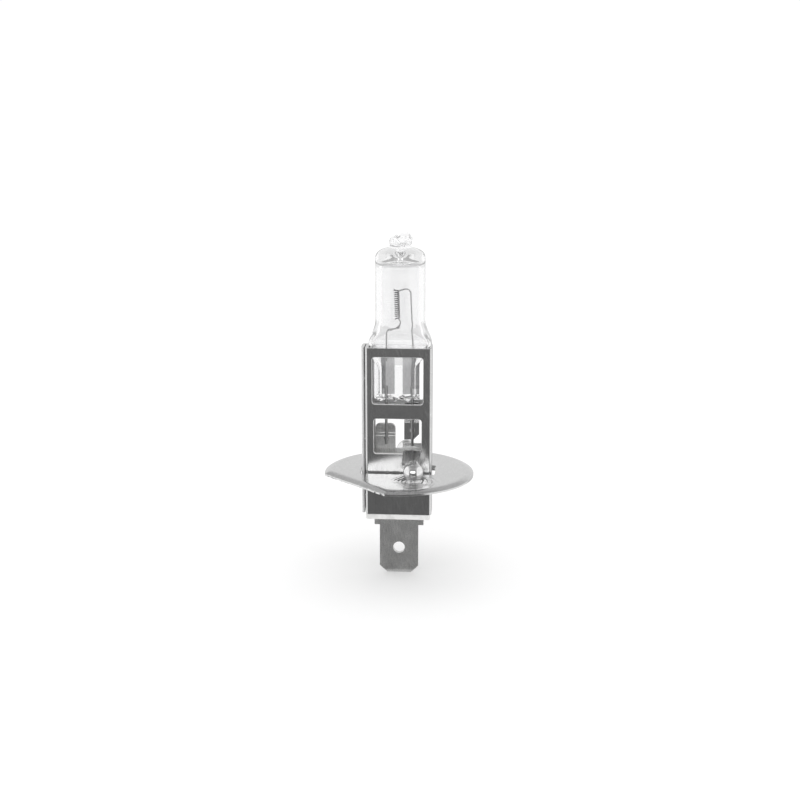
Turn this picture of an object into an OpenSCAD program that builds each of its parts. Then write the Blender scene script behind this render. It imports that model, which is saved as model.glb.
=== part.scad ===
// Headlight bulb with a flanged one-contact base: a fused-quartz envelope with an axial coil,
// held in a folded sheet-metal sleeve that is tack-welded to a locating flange.
// The origin is the middle of the flange's seating face. +Z points to the tip of the glass,
// X runs across the wide side of the sleeve and of the contact blade.

/* [Flange] */
// Outside diameter of the flange
flange_d = 24; // [23:0.1:25]
// Thickness of the flange sheet
flange_t = 0.7; // [0.6:0.05:0.9]
// Distance from the lamp axis to the straight keying edge
chord_r = 9.6; // [9.2:0.1:10]
// Direction in which the straight keying edge faces, from +X
chord_angle = 226; // [213:1:237]
// Width of the band over which the rim rolls down
rim_w = 1.2; // [0.6:0.1:1.4]
// Depth by which the rim rolls down
rim_drop = 0.24; // [0.1:0.02:0.3]
// Depth of the melted ring round each weld bead
pool_depth = 0.04; // [0.02:0.01:0.08]

/* [Sleeve] */
// Width of the sleeve over its folded walls
sleeve_w = 10.6; // [10.4:0.1:10.8]
// Depth of the sleeve from front to back
sleeve_d = 3.8; // [3.7:0.1:4]
// Thickness of the sleeve sheet
sheet = 0.5; // [0.4:0.05:0.5]
// Height of the sleeve's top edge above the seating face
sleeve_top = 20.35; // [20:0.05:20.6]
// Depth of the sleeve's bottom edge below the seating face
sleeve_low = 7.05; // [6.5:0.05:7.5]
// Gap between the two layers of the lapped seam
seam_gap = 0.15; // [0.05:0.05:0.2]
// How far the outer layer of the seam stops behind the front face
seam_back = 1; // [0.8:0.1:1.4]
// Width of the locating tongues that carry the flange
tongue_w = 2.8; // [2.4:0.1:3]
// Downward slope of the tongues
tongue_slope = 18; // [16:1:19]

/* [Weld beads] */
// Radius of a weld bead
bead_r = 1.58; // [1.4:0.02:1.7]
// Height of a bead's middle above the seating face
bead_z = 1.5; // [1.4:0.05:1.6]

/* [Glass] */
// Outside diameter of the quartz tube
glass_d = 7.88; // [7.6:0.02:8.2]
// Wall thickness of the quartz tube
glass_wall = 0.95; // [0.8:0.05:1]
// Offset of the glass axis from the lamp axis along X
glass_x = 0.2; // [0:0.05:0.2]
// Height of the shoulder where the dome starts
dome_z = 34.5; // [34:0.1:34.8]
// Height of the flat on which the exhaust tip stands
neck_z = 36.1; // [36:0.05:36.3]
// Top of the exhaust tip
tip_z = 38.5; // [38.2:0.1:38.8]
// Height at which the round tube starts to flatten
flare_z = 24.8; // [24.4:0.1:25]
// Height of the lower end of the pinch seal
pinch_z = 11.45; // [11.2:0.05:11.6]

/* [Filament and leads] */
// Light centre: height of the lower end of the coil
light_z = 25; // [24.9:0.05:25.1]
// Length of the coil
coil_l = 4.4; // [4:0.1:5]
// Outside diameter of the coil
coil_d = 1; // [0.9:0.05:1.1]
// Diameter of the tungsten wire in the coil
coil_wire = 0.17; // [0.12:0.01:0.2]
// Turns in the coil
coil_turns = 13; // [11:1:15]
// Diameter of the inner leads
inner_d = 0.22; // [0.2:0.01:0.3]
// Diameter of the outer leads
outer_d = 0.46; // [0.4:0.02:0.5]
// Width of a sealing foil
foil_w = 2.2; // [2:0.1:2.3]
// Thickness of a sealing foil
foil_t = 0.06; // [0.04:0.01:0.1]

/* [Blade and insulator] */
// Width of the contact blade
blade_w = 6.3; // [6.2:0.05:6.4]
// Thickness of the contact blade
blade_t = 0.8; // [0.77:0.01:0.84]
// Diameter of the latching hole in the blade
hole_d = 1.86; // [1.7:0.02:2]
// Depth of the latching hole below the seating face
hole_low = 13.15; // [13:0.05:13.4]
// Depth of the blade's tip below the seating face
blade_low = 17.5; // [17.3:0.05:17.8]
// Width over the stop shoulders of the blade
shoulder_w = 8; // [7.8:0.1:8.2]
// Thickness of the insulator's lip below the sleeve
lip_t = 0.85; // [0.7:0.05:1]

/* [Hidden] */
$fn = 48;
// A thickness that is only there to make cuts run past a face
over = 0.5;
half_w = sleeve_w / 2;
half_d = sleeve_d / 2;
// The rear plate reaches further left, round the outer layer of the seam
lap_x = half_w + seam_gap + sheet;

// Spot welds in the seam: their heights, radius and place behind the lamp's middle
seam_weld_z = [-4.5, 5, 15];
seam_weld_r = 0.55;
seam_weld_y = 0.35;
// Corner radius inside the folds
fold_in_r = 0.06;

// Windows as [left, right, low, high]
upper_window = [-4.15, 3.9, 11.3, 18.87];
lower_window = [-3.92, 3.67, 3.15, 8.88];
window_r = 0.45;

// Tongues: left edge, and the bead in which each one ends
front_tongue_x = 0.8;
rear_tongue_x = 0.7;
front_bead = [2.65, -6.35];
rear_bead = [0.75, 6.75];
bend_r = 0.2;
// Height of the tongues' upper side at the bend, and how far short of the bead's middle they end
tongue_z = 3.9;
tongue_short = 0.75;
bend_z = tongue_z - bend_r - sheet;
pool_r = bead_r + 0.17;

// Slot through the flange, as [left, right] and its half depth
slot_x = [-lap_x - 0.22, half_w + 0.55];
slot_half_d = half_d + 0.16;
slot_r = 0.4;

// Pinch seal, which sits left of the glass axis
pinch_x = -0.36;
pinch_half_w = 3.64;
pinch_half_t = 1.39;
web_half_t = 1.02;
rib_w = 0.75;
rib_r = 0.3;
// Heights at which the pinch starts to widen, is widest, and starts to get thicker
neck_in_z = 17.1;
shoulder_z = 20.6;
thin_z = 20.3;
shoulder_half_w = 4.7;
// How much wider than the round tube the flare starts, just above its shoulder
flare_more = 1.12;
// How far the web and the ribs run up into the flared stretch
pinch_run_in = 0.6;
cavity_top = dome_z - 0.25;
cavity_low = 20.9;
vent_r = 0.42;
// Step where the flattened stretch meets the round tube
seam_step = 0.02;
flare_points = 40;
// Dome: radius over which the shoulder turns in, and the flat ring on which the exhaust tip stands
dome_corner = 1.5;
dome_flat_r = 1.6;
// Exhaust tip: a short neck, and two drops of melted quartz as [x, y, z, r]
tip_neck_r = [1.42, 1.55];
tip_neck_h = 0.7;
tip_drops = [[-0.28, 0, neck_z + 1.12, 1.12], [0.95, 0.1, tip_z - 1.2, 1.2]];
tip_vent = 0.35;

// Leads and foils, as X of the left and the right one
foil_x = [-1.75, 1.62];
foil_low = 12.6;
foil_high = 19.4;
inner_x = [-2.0, 2.3];
inner_low = 18.2;
// Inner leads as [length, bend, bend radius] of each run, and the lean of the right one
left_runs = [[23.1 - inner_low, 80, 0.35], [1.5, -115, 0.55], [0.45, 0, 0]];
right_runs = [[28.9 - inner_low, -102, 0.7], [1.15, 0, 0]];
right_lean = -2.5;
outer_x = [-2.05, 2.12];
outer_high = 13.9;
outer_low = [4.3, 4.05];
weld_z = [5.1, 6.6];
weld_r = 0.42;
// Depth of the plane on which foils, blade tongue and earth tab touch the leads
contact_y = inner_d / 2;

// Coil axis from its lower to its upper end
coil_low = [-0.25, 0, light_z];
coil_high = [-0.41, 0, light_z + coil_l];
coil_step = 14;
coil_sides = 6;

// Blade stem inside the sleeve, as [left, right, top], with the heights between which it jogs back
stem = [-3.85, -0.6, 7.55];
stem_t = 0.4;
stem_jog = [5.65, 6.0];
stem_back = 0.3;
// Height above which the stem leans forward again, and how far back its top stays
stem_crease = 6.8;
stem_top_back = 0.1;
stem_r = 0.8;
stem_low = -sleeve_low - 3;
// Blade outline: depth of the shoulders, corner chamfers and lead-in at the tip
shoulder_h = 1.4;
blade_chamfer = 1.2;
blade_lead_in = 0.65;
// Insulator plug inside the sleeve
plug_gap = 0.04;
plug_top = 2.5;
plug_r = 0.2;
// Insulator lip: overlap with the plug, corner radius, and how far short it is on the right
lip_lap = 0.1;
lip_r = 0.35;
lip_short = 0.2;
// Earth tab, as [left, right, low], with the heights between which it slopes back to the crossbar
tab = [0.8, 3.2, 5.0];
tab_t = 0.35;
tab_slope = [7.85, 8.75];
tab_top = 10.9;
tab_chamfer = 0.9;
tab_lap = 0.15;

// ---- Plain shapes used by several pieces ----

// Rectangle from corner to corner with round corners
module round_rect(x0, x1, y0, y1, r) {
    translate([x0 + r, y0]) square([x1 - x0 - 2 * r, y1 - y0]);
    translate([x0, y0 + r]) square([x1 - x0, y1 - y0 - 2 * r]);
    for (x = [x0 + r, x1 - r], y = [y0 + r, y1 - r]) translate([x, y]) circle(r);
}

// An X-Z outline extruded from y0 to y1
module across(y0, y1) {
    translate([0, y1, 0]) rotate([90, 0, 0]) linear_extrude(y1 - y0) children();
}

// A Y-Z outline extruded from x0 to x1
module along(x0, x1) {
    translate([x0, 0, 0]) rotate([90, 0, 90]) linear_extrude(x1 - x0) children();
}

// Round wire of straight runs and bends in the X-Z plane; steps are [length, bend, radius]
module wire(d, steps, i = 0) {
    if (i < len(steps)) {
        bend = steps[i][1];
        r = steps[i][2];
        turn = bend < 0 ? -1 : 1;
        a = abs(bend);
        cylinder(d = d, h = steps[i][0]);
        translate([0, 0, steps[i][0]]) {
            if (a > 0)
                rotate([0, 0, turn < 0 ? 180 : 0]) translate([r, 0, 0]) rotate([90, 0, 0])
                    rotate([0, 0, 180 - a]) rotate_extrude(angle = a) translate([r, 0]) circle(d = d);
            translate([turn * r * (1 - cos(a)), 0, r * sin(a)]) rotate([0, bend, 0]) wire(d, steps, i + 1);
        }
    }
}

// ---- Glass ----

function smooth(t) = let (c = min(1, max(0, t))) c * c * (3 - 2 * c);
// Half width, half thickness, middle and squareness of the flattened tube at height z
function flare_half_w(z) =
    z > shoulder_z
        ? glass_d / 2 + flare_more * pow(1 - smooth((z - shoulder_z) / (flare_z - shoulder_z)), 1.3)
        : pinch_half_w
            + (shoulder_half_w - pinch_half_w) * smooth((z - neck_in_z) / (shoulder_z - 0.4 - neck_in_z));
function flare_half_t(z) =
    pinch_half_t + (glass_d / 2 - pinch_half_t) * smooth((z - thin_z) / (flare_z - thin_z));
function flare_mid(z) = pinch_x + (glass_x - pinch_x) * smooth((z - neck_in_z) / (shoulder_z - neck_in_z));
// 1 at a round outline and towards 0 at a square one
function flare_power(z) = 2 / (2 + 5 * (1 - smooth((z - thin_z + 0.3) / (flare_z - thin_z - 0.1))));
function signed_pow(v, p) = (v < 0 ? -1 : 1) * pow(abs(v), p);
function ring(z, inset, n) = [for (k = [0 : n - 1])
    let (a = 360 * k / n, p = flare_power(z))
    [flare_mid(z) + (flare_half_w(z) - inset) * signed_pow(cos(a), p),
     (flare_half_t(z) - inset) * signed_pow(sin(a), p), z]];

// Closed skin through rings of n points each
module loft(rings) {
    n = len(rings[0]);
    m = len(rings);
    polyhedron([for (r = rings) each r], concat(
        [[for (k = [0 : n - 1]) k]],
        [for (j = [0 : m - 2], k = [0 : n - 1]) let (a = j * n + k, b = j * n + (k + 1) % n)
            each [[a, a + n, b], [b, a + n, b + n]]],
        [[for (k = [n - 1 : -1 : 0]) (m - 1) * n + k]]));
}

module tube_outline() {
    r = glass_d / 2;
    rise = neck_z - dome_z;
    square([r, dome_z - flare_z]);
    translate([0, dome_z - flare_z]) {
        square([r - dome_corner, rise]);
        polygon([[r - dome_corner, 0], [r, 0], [r - dome_corner * 0.13, rise * 0.47],
                 [r - dome_corner * 0.5, rise * 0.78], [dome_flat_r, rise], [r - dome_corner, rise * 0.69]]);
    }
}

module glass_body() {
    low_rings = [for (i = [0 : 4]) neck_in_z + i * (thin_z - neck_in_z) / 5];
    high_rings = [for (i = [0 : 8]) thin_z + i * (flare_z - thin_z) / 8];
    loft([for (z = concat(low_rings, high_rings)) ring(z, z < flare_z ? 0 : seam_step, flare_points)]);
    translate([glass_x, 0, flare_z]) rotate_extrude() tube_outline();
    // Pressed seal: a thin web between two thicker side ribs
    web_half_w = pinch_half_w - rib_w / 2;
    seal_h = neck_in_z - pinch_z + pinch_run_in;
    rib_half_t = pinch_half_t - seam_step;
    translate([pinch_x - web_half_w, -web_half_t, pinch_z]) cube([2 * web_half_w, 2 * web_half_t, seal_h]);
    for (s = [-1, 1]) translate([pinch_x + s * (pinch_half_w - rib_w / 2), 0, pinch_z])
        linear_extrude(seal_h) round_rect(-rib_w / 2, rib_w / 2, -rib_half_t, rib_half_t, rib_r);
}

module glass_envelope() color("white", 0.35) difference() {
    glass_body();
    translate([glass_x, 0, flare_z]) cylinder(r = glass_d / 2 - glass_wall, h = cavity_top - flare_z);
    translate([glass_x, 0, cavity_top - over]) cylinder(r = vent_r, h = neck_z - cavity_top + 2 * over);
    loft([for (i = [0 : 5])
        let (z = cavity_low + i * (flare_z - cavity_low) / 5)
        ring(z, glass_wall + (i < 5 ? 0 : seam_step), flare_points)]);
    for (side = [0, 1]) foil(side);
    for (side = [0, 1]) inner_lead(side);
    for (side = [0, 1]) outer_lead(side);
}

module exhaust_tip() color("white", 0.35) difference() {
    union() {
        translate([glass_x + 0.1, 0, neck_z]) cylinder(r1 = tip_neck_r[0], r2 = tip_neck_r[1], h = tip_neck_h);
        hull() for (drop = tip_drops) translate([drop[0], drop[1], drop[2]]) sphere(drop[3], $fn = 28);
    }
    translate([glass_x, 0, neck_z - over]) cylinder(r = vent_r, h = over + tip_vent);
    translate([-glass_d / 2, -glass_d / 2, neck_z - 2 * over]) cube([glass_d, glass_d, 2 * over]);
}

// ---- Filament and current path in the glass ----

function coil_point(t) =
    let (turn = t * coil_turns,
         reach = min(1, min(turn, coil_turns - turn) * 3),
         r = (coil_d - coil_wire) / 2 * reach)
    coil_low + t * (coil_high - coil_low) + [r * cos(360 * turn), r * sin(360 * turn), 0];

module filament_coil() color("dimgray") {
    count = coil_turns * coil_step;
    loft([for (i = [0 : count])
        let (t = i / count, p = coil_point(t),
             q = coil_point(min(1, t + 0.001)) - coil_point(max(0, t - 0.001)),
             ahead = q / norm(q),
             out = cross([0, 0.01, 1], ahead),
             u = out / norm(out), v = cross(ahead, u))
        [for (k = [0 : coil_sides - 1]) let (a = 360 * k / coil_sides)
            p + coil_wire / 2 * (cos(a) * u + sin(a) * v)]]);
}

module inner_lead(side) translate([inner_x[side], 0, inner_low])
    rotate([0, side == 0 ? 0 : right_lean, 0]) wire(inner_d, side == 0 ? left_runs : right_runs);
module inner_lead_left() color("silver") inner_lead(0);
module inner_lead_right() color("silver") inner_lead(1);

module foil(side) translate([foil_x[side] - foil_w / 2, contact_y, foil_low])
    cube([foil_w, foil_t, foil_high - foil_low]);
module foil_left() color("gray") foil(0);
module foil_right() color("gray") foil(1);

// Outer leads start flat against the foils and run straight down to their tabs
module outer_lead(side) translate([outer_x[side], contact_y - outer_d / 2, outer_low[side]])
    cylinder(d = outer_d, h = outer_high - outer_low[side]);
module outer_lead_left() color("silver") outer_lead(0);
module outer_lead_right() color("silver") outer_lead(1);

// Weld metal in the corners between a lead and the tab behind it
module lead_weld(side) difference() {
    translate([outer_x[side], contact_y, weld_z[side]]) rotate([0, 90, 0]) rotate([0, 0, 45]) sphere(weld_r);
    translate([outer_x[side] - 1, contact_y, weld_z[side] - 1]) cube([2, 1, 2]);
    outer_lead(side);
}
module lead_weld_left() color("gray") lead_weld(0);
module lead_weld_right() color("gray") lead_weld(1);

// ---- Sleeve ----

// Plan of the folded strip: an inner layer on the left lies under an outer one
module sleeve_plan() {
    difference() {
        round_rect(-half_w, half_w, -half_d, half_d, sheet);
        round_rect(-half_w + sheet, half_w - sheet, -half_d + sheet, half_d - sheet, fold_in_r);
        translate([-half_w - over, half_d - sheet - seam_gap])
            square([sheet + over, sheet + seam_gap + over]);
    }
    difference() {
        round_rect(-lap_x, half_w - 1, -half_d, half_d, sheet);
        round_rect(-lap_x + sheet, half_w, -half_d - 1, half_d - sheet, fold_in_r);
        translate([-lap_x - over, -half_d - over]) square([sheet + 2 * over, seam_back + over]);
    }
    translate([-lap_x + sheet / 2, -half_d + seam_back]) circle(sheet / 2);
}

module window(w, front) {
    across(front ? -half_d - over : 0.3, front ? -0.3 : half_d + over)
        round_rect(w[0], w[1], w[2], w[3], window_r);
}

// A tongue is lanced from the lower window, bent out over the flange and ends inside its bead
module front_going_tongue(x0, bead_y) {
    bend = 90 + tongue_slope;
    out_y = abs(bead_y) - tongue_short - half_d - bend_r;
    reach = (out_y - (bend_r + sheet / 2) * sin(tongue_slope)) / cos(tongue_slope);
    far = 2 * (bend_r + sheet);
    along(x0, x0 + tongue_w) translate([-half_d - bend_r, bend_z]) {
        translate([bend_r, lower_window[2] - bend_z - over]) square([sheet, bend_z - lower_window[2] + over]);
        intersection() {
            difference() {
                circle(bend_r + sheet);
                circle(bend_r);
            }
            polygon([[0, 0], [far, 0], [far, far], [far * cos(bend), far * sin(bend)]]);
        }
        rotate([0, 0, bend]) translate([bend_r, 0]) square([sheet, reach]);
    }
}
module front_tongue() front_going_tongue(front_tongue_x, front_bead[1]);
module rear_tongue() mirror([0, 1, 0]) front_going_tongue(rear_tongue_x, rear_bead[1]);

module base_sleeve() color("dimgray") {
    difference() {
        translate([0, 0, -sleeve_low]) linear_extrude(sleeve_top + sleeve_low) sleeve_plan();
        for (w = [upper_window, lower_window], front = [true, false]) window(w, front);
    }
    front_tongue();
    rear_tongue();
}

module seam_welds() color("gray")
    for (z = seam_weld_z) translate([-half_w - seam_gap, seam_weld_y, z]) rotate([0, 90, 0])
        cylinder(r = seam_weld_r, h = seam_gap);

module earth_tab() color("gray") intersection() {
    along(tab[0], tab[1]) polygon([
        [contact_y, tab[2]], [contact_y, tab_slope[0]],
        [half_d - sheet - tab_t, tab_slope[1]], [half_d - sheet - tab_t, tab_top],
        [half_d - sheet, tab_top], [half_d - sheet, tab_slope[1] - tab_lap],
        [contact_y + tab_t, tab_slope[0] - tab_lap], [contact_y + tab_t, tab[2]]]);
    across(-1, 2) polygon([
        [tab[0], tab[2]], [tab[1] - tab_chamfer, tab[2]], [tab[1], tab[2] + tab_chamfer],
        [tab[1], tab_top], [tab[0], tab_top]]);
}

// ---- Flange ----

// Section of the flange out to r, flat and then rolled down over the rim band
module rim_section(r, from) {
    roll_r = (rim_w * rim_w + rim_drop * rim_drop) / (2 * rim_drop);
    translate([from, -flange_t]) square([r - rim_w - from, flange_t]);
    intersection() {
        translate([r - rim_w, -roll_r]) circle(roll_r, $fn = 160);
        translate([r - rim_w, -flange_t]) square([rim_w, flange_t + 1]);
    }
}

module flange_ring() color("silver") difference() {
    intersection() {
        rotate_extrude($fn = 160) rim_section(flange_d / 2, 0);
        rotate([0, 0, chord_angle]) rotate([90, 0, 0])
            translate([0, 0, -flange_d]) linear_extrude(2 * flange_d) rim_section(chord_r, -flange_d);
    }
    translate([0, 0, -flange_t - over]) linear_extrude(flange_t + 2 * over)
        round_rect(slot_x[0], slot_x[1], -slot_half_d, slot_half_d, slot_r);
    for (b = [front_bead, rear_bead]) translate([b[0], b[1], -pool_depth]) cylinder(r = pool_r, h = 1);
}

module bead(at) difference() {
    translate([at[0], at[1], bead_z]) sphere(bead_r, $fn = 64);
    translate([at[0] - 2, at[1] - 2, -pool_depth - 2]) cube([4, 4, 2]);
    front_tongue();
    rear_tongue();
}
module weld_bead_front() color("lightgray") bead(front_bead);
module weld_bead_rear() color("lightgray") bead(rear_bead);

// ---- Insulator and blade ----

module blade_stem() intersection() {
    along(stem[0], stem[1]) polygon([
        [contact_y, stem_low], [contact_y, stem_jog[0]], [contact_y + stem_back, stem_jog[1]],
        [contact_y + stem_back, stem_crease], [contact_y + stem_top_back, stem[2]],
        [contact_y + stem_top_back + stem_t, stem[2]], [contact_y + stem_back + stem_t, stem_crease],
        [contact_y + stem_back + stem_t, stem_jog[1]], [contact_y + stem_t, stem_jog[0]],
        [contact_y + stem_t, stem_low]]);
    across(-1, 2) round_rect(stem[0], stem[1], stem_low, stem[2], stem_r);
}

module blade_terminal() color("gray") {
    shoulder_top = -sleeve_low - lip_t;
    blade_stem();
    translate([-shoulder_w / 2, -blade_t / 2, shoulder_top - shoulder_h])
        cube([shoulder_w, blade_t, shoulder_h]);
    difference() {
        intersection() {
            across(-blade_t / 2, blade_t / 2) polygon([
                [-blade_w / 2, shoulder_top - 1], [-blade_w / 2, -blade_low + blade_chamfer],
                [-blade_w / 2 + blade_chamfer, -blade_low], [blade_w / 2 - blade_chamfer, -blade_low],
                [blade_w / 2, -blade_low + blade_chamfer], [blade_w / 2, shoulder_top - 1]]);
            along(-blade_w, blade_w) polygon([
                [-blade_t / 2, 0], [-blade_t / 2, -blade_low + blade_lead_in], [-blade_t / 4, -blade_low],
                [blade_t / 4, -blade_low], [blade_t / 2, -blade_low + blade_lead_in], [blade_t / 2, 0]]);
        }
        translate([0, 0, -hole_low]) rotate([90, 0, 0]) cylinder(d = hole_d, h = 2, center = true);
    }
}

module ceramic_insulator() color("white") difference() {
    union() {
        translate([0, 0, -sleeve_low - lip_lap]) linear_extrude(plug_top + sleeve_low + lip_lap)
            round_rect(-half_w + sheet + plug_gap, half_w - sheet - plug_gap,
                       -half_d + sheet + plug_gap, half_d - sheet - plug_gap, plug_r);
        translate([0, 0, -sleeve_low - lip_t]) linear_extrude(lip_t)
            round_rect(-half_w, half_w - lip_short, -half_d, half_d, lip_r);
    }
    blade_stem();
}

glass_envelope();
exhaust_tip();
filament_coil();
inner_lead_left();
inner_lead_right();
foil_left();
foil_right();
outer_lead_left();
outer_lead_right();
lead_weld_left();
lead_weld_right();
base_sleeve();
seam_welds();
earth_tab();
flange_ring();
weld_bead_front();
weld_bead_rear();
ceramic_insulator();
blade_terminal();
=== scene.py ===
import math

import bmesh
import bpy
from mathutils import Matrix, Vector, noise


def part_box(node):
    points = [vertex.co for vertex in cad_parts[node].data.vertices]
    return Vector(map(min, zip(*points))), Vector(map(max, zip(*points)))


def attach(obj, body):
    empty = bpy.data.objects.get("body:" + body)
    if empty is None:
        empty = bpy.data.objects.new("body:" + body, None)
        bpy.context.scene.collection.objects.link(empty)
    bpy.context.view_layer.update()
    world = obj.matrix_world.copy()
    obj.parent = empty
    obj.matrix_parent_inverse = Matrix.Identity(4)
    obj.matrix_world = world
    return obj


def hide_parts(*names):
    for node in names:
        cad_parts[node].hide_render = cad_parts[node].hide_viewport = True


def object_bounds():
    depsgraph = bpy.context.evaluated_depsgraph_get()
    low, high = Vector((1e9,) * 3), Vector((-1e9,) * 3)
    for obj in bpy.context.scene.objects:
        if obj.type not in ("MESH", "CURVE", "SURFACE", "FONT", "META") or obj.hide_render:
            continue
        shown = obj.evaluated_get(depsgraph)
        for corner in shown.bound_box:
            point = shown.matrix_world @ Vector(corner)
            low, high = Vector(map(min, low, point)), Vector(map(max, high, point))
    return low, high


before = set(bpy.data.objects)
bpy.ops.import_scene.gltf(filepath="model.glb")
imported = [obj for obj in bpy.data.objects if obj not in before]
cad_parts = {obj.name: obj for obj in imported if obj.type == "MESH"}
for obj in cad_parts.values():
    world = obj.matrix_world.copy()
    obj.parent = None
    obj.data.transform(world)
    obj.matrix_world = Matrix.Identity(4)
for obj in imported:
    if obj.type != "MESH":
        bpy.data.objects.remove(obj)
cad_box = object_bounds()
scene = bpy.context.scene
mm = 0.001


# ---- Studio ----
# A pale table that reaches far past the lamp, a white tent all round it with soft boxes in its
# sides and a dark opening at the front, and the camera.

table_z = cad_box[0].z
table_r = 4.0
table_tone = 0.99


def deselect():
    bpy.ops.object.select_all(action="DESELECT")


def activate(piece):
    deselect()
    piece.select_set(True)
    bpy.context.view_layer.objects.active = piece


def fix_place(piece):
    """Puts the piece's place, turn and size into its mesh."""
    activate(piece)
    bpy.ops.object.transform_apply(location=True, rotation=True, scale=True)


def node_maker(tree):
    """A function that adds a node to the tree and sets what it is told to."""
    def add(kind, **settings):
        made = tree.nodes.new(kind)
        for key, value in settings.items():
            setattr(made, key, value)
        return made

    return add


deselect()
bpy.ops.mesh.primitive_circle_add(vertices=96, radius=table_r, fill_type="NGON", location=(0, 0, table_z))
table = bpy.context.object
table.name = "table"
table.visible_glossy = False
table_paint = bpy.data.materials.new("table_paint")
table_paint.use_nodes = True
table_shader = table_paint.node_tree.nodes["Principled BSDF"]
table_shader.inputs["Base Color"].default_value = (table_tone, table_tone, table_tone, 1)
table_shader.inputs["Roughness"].default_value = 1
table_shader.inputs["Specular IOR Level"].default_value = 0
table.data.materials.append(table_paint)

tent = bpy.data.worlds.new("tent")
tent.use_nodes = True
scene.world = tent
tent_tree = tent.node_tree
tent_tree.nodes.clear()
join = tent_tree.links.new
tent_node = node_maker(tent_tree)


def tent_zone(source, start, stop, below, above):
    """A smooth step of the source from one tone to another."""
    zone = tent_node("ShaderNodeMapRange", interpolation_type="SMOOTHSTEP")
    join(source, zone.inputs["Value"])
    for label, value in (("From Min", start), ("From Max", stop), ("To Min", below), ("To Max", above)):
        zone.inputs[label].default_value = value
    return zone.outputs[0]


def tent_blend(share, first, second):
    blend = tent_node("ShaderNodeMix")
    join(share, blend.inputs[0])
    for socket, value in ((blend.inputs[2], first), (blend.inputs[3], second)):
        if isinstance(value, float):
            socket.default_value = value
        else:
            join(value, socket)
    return blend.outputs[0]


# What the metal mirrors: pale walls, a darker roof, a grey floor, soft boxes at both sides, and a dark
# opening at the front with a bright strip light in its middle
tent_way = tent_node("ShaderNodeTexCoord")
tent_parts = tent_node("ShaderNodeSeparateXYZ")
join(tent_way.outputs["Generated"], tent_parts.inputs[0])
tent_side = tent_node("ShaderNodeMath", operation="ABSOLUTE")
join(tent_parts.outputs["X"], tent_side.inputs[0])
wall = tent_zone(tent_parts.outputs["Z"], -0.1, 0.06, 0.72, 0.9)
roof = tent_zone(tent_parts.outputs["Z"], 0.4, 0.6, 0.0, 1.0)
mirrored = tent_blend(roof, wall, 0.6)
zenith = tent_zone(tent_parts.outputs["Z"], 0.8, 0.93, 0.0, 1.0)
mirrored = tent_blend(zenith, mirrored, 0.38)
front = tent_zone(tent_parts.outputs["Z"], -0.34, -0.18, 0.16, 0.23)
lamp_strip = tent_zone(tent_parts.outputs["Z"], 0.04, 0.14, 0.0, 1.0)
strip_end = tent_zone(tent_side.outputs[0], 0.4, 0.5, 2.5, 0.3)
front = tent_blend(lamp_strip, front, strip_end)
front_roof = tent_zone(tent_parts.outputs["Z"], 0.4, 0.5, 0.0, 1.0)
front = tent_blend(front_roof, front, 0.4)
opening = tent_zone(tent_parts.outputs["Y"], -0.4, -0.66, 0.0, 1.0)
mirrored = tent_blend(opening, mirrored, front)
deep = tent_zone(tent_parts.outputs["Z"], -0.48, -0.62, 0.0, 1.0)
mirrored = tent_blend(deep, mirrored, 0.62)
boxes = tent_zone(tent_side.outputs[0], 0.58, 0.76, 0.0, 1.0)
mirrored = tent_blend(boxes, mirrored, 1.2)

tent_path = tent_node("ShaderNodeLightPath")
tent_tone = tent_blend(tent_path.outputs["Is Glossy Ray"], 1.1, mirrored)
tent_tone = tent_blend(tent_path.outputs["Is Camera Ray"], tent_tone, 1.02)
tent_light = tent_node("ShaderNodeBackground")
tent_light.inputs["Color"].default_value = (1, 1, 1, 1)
join(tent_tone, tent_light.inputs["Strength"])
tent_out = tent_node("ShaderNodeOutputWorld")
join(tent_light.outputs[0], tent_out.inputs["Surface"])

camera_turn = math.radians(3.96)
camera_rise = math.radians(14.21)
camera_far = 230.2 * mm
aim_aside, aim_z = 0.14, 11.57
camera_aim = Vector((aim_aside * math.cos(camera_turn), aim_aside * math.sin(camera_turn), aim_z)) * mm
camera_back = Vector((math.sin(camera_turn) * math.cos(camera_rise),
                      -math.cos(camera_turn) * math.cos(camera_rise), math.sin(camera_rise)))
camera = bpy.data.objects.new("camera", bpy.data.cameras.new("camera"))
camera.data.lens = 64.9
camera.data.sensor_width = 36
camera.data.clip_start = 0.01
camera.location = camera_aim + camera_back * camera_far
camera.rotation_euler = (-camera_back).to_track_quat("-Z", "Y").to_euler()
scene.collection.objects.link(camera)
scene.camera = camera
scene.view_settings.view_transform = "Standard"


# ---- Sealing foils ----
# Two ribbons of molybdenum foil, which carry the current through the pinch seal. Their long edges are
# etched thin, the hot glass leaves them slightly rippled, and a flattened strip backs each outer edge.

foil_t = 0.05 * mm
foil_margin = 0.1 * mm
foil_ripple = 0.002 * mm
foil_crease = 0.012 * mm
edge_wander = 0.03 * mm
etched_from = 0.6
etched_share = 0.8
tab_w = 0.72 * mm
tab_t = 0.03 * mm
tab_low = 13.5 * mm


def pick(piece, test, part="faces"):
    """Selects, in edit mode, the faces, edges or verts whose middle passes the test."""
    kinds = {"faces": "FACE", "edges": "EDGE", "verts": "VERT"}
    bpy.ops.mesh.select_mode(type=kinds[part])
    bpy.ops.mesh.select_all(action="DESELECT")
    mesh = bmesh.from_edit_mesh(piece.data)
    for item in getattr(mesh, part):
        if part == "faces":
            middle = item.calc_center_median()
        elif part == "edges":
            middle = (item.verts[0].co + item.verts[1].co) / 2
        else:
            middle = item.co
        if test(middle):
            item.select_set(True)
    mesh.select_flush_mode()
    bmesh.update_edit_mesh(piece.data)


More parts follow.
